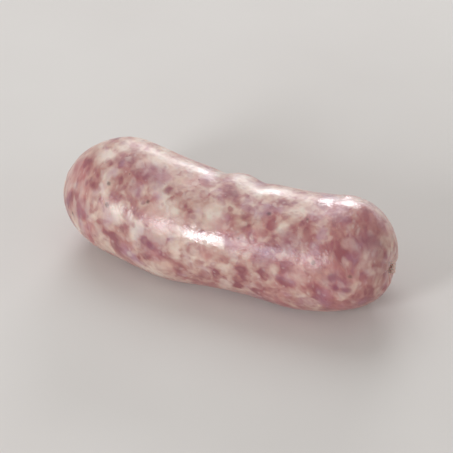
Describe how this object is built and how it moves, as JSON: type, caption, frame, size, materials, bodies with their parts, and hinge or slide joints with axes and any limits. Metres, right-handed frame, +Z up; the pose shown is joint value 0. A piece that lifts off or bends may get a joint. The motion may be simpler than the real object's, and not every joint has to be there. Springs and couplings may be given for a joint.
{
  "type": "sausage link",
  "caption": "Raw, coarsely minced sausage link in a wet natural casing, gently bent and lumpy, with a small puckered casing knot at each rounded end; it lies on its side.",
  "frame": {"origin": "bottom centre of the link's box, on the surface that it rests on", "axes": "+X runs along the link to its squarer end, +Z is up, and -Y is the outside of its bend"},
  "size_m": [0.1158, 0.0418, 0.0366],
  "materials": {
    "sausage_skin": "satin"
  },
  "bodies": {
    "root": {"sausage": "sausage_skin"}
  },
  "joints": []
}
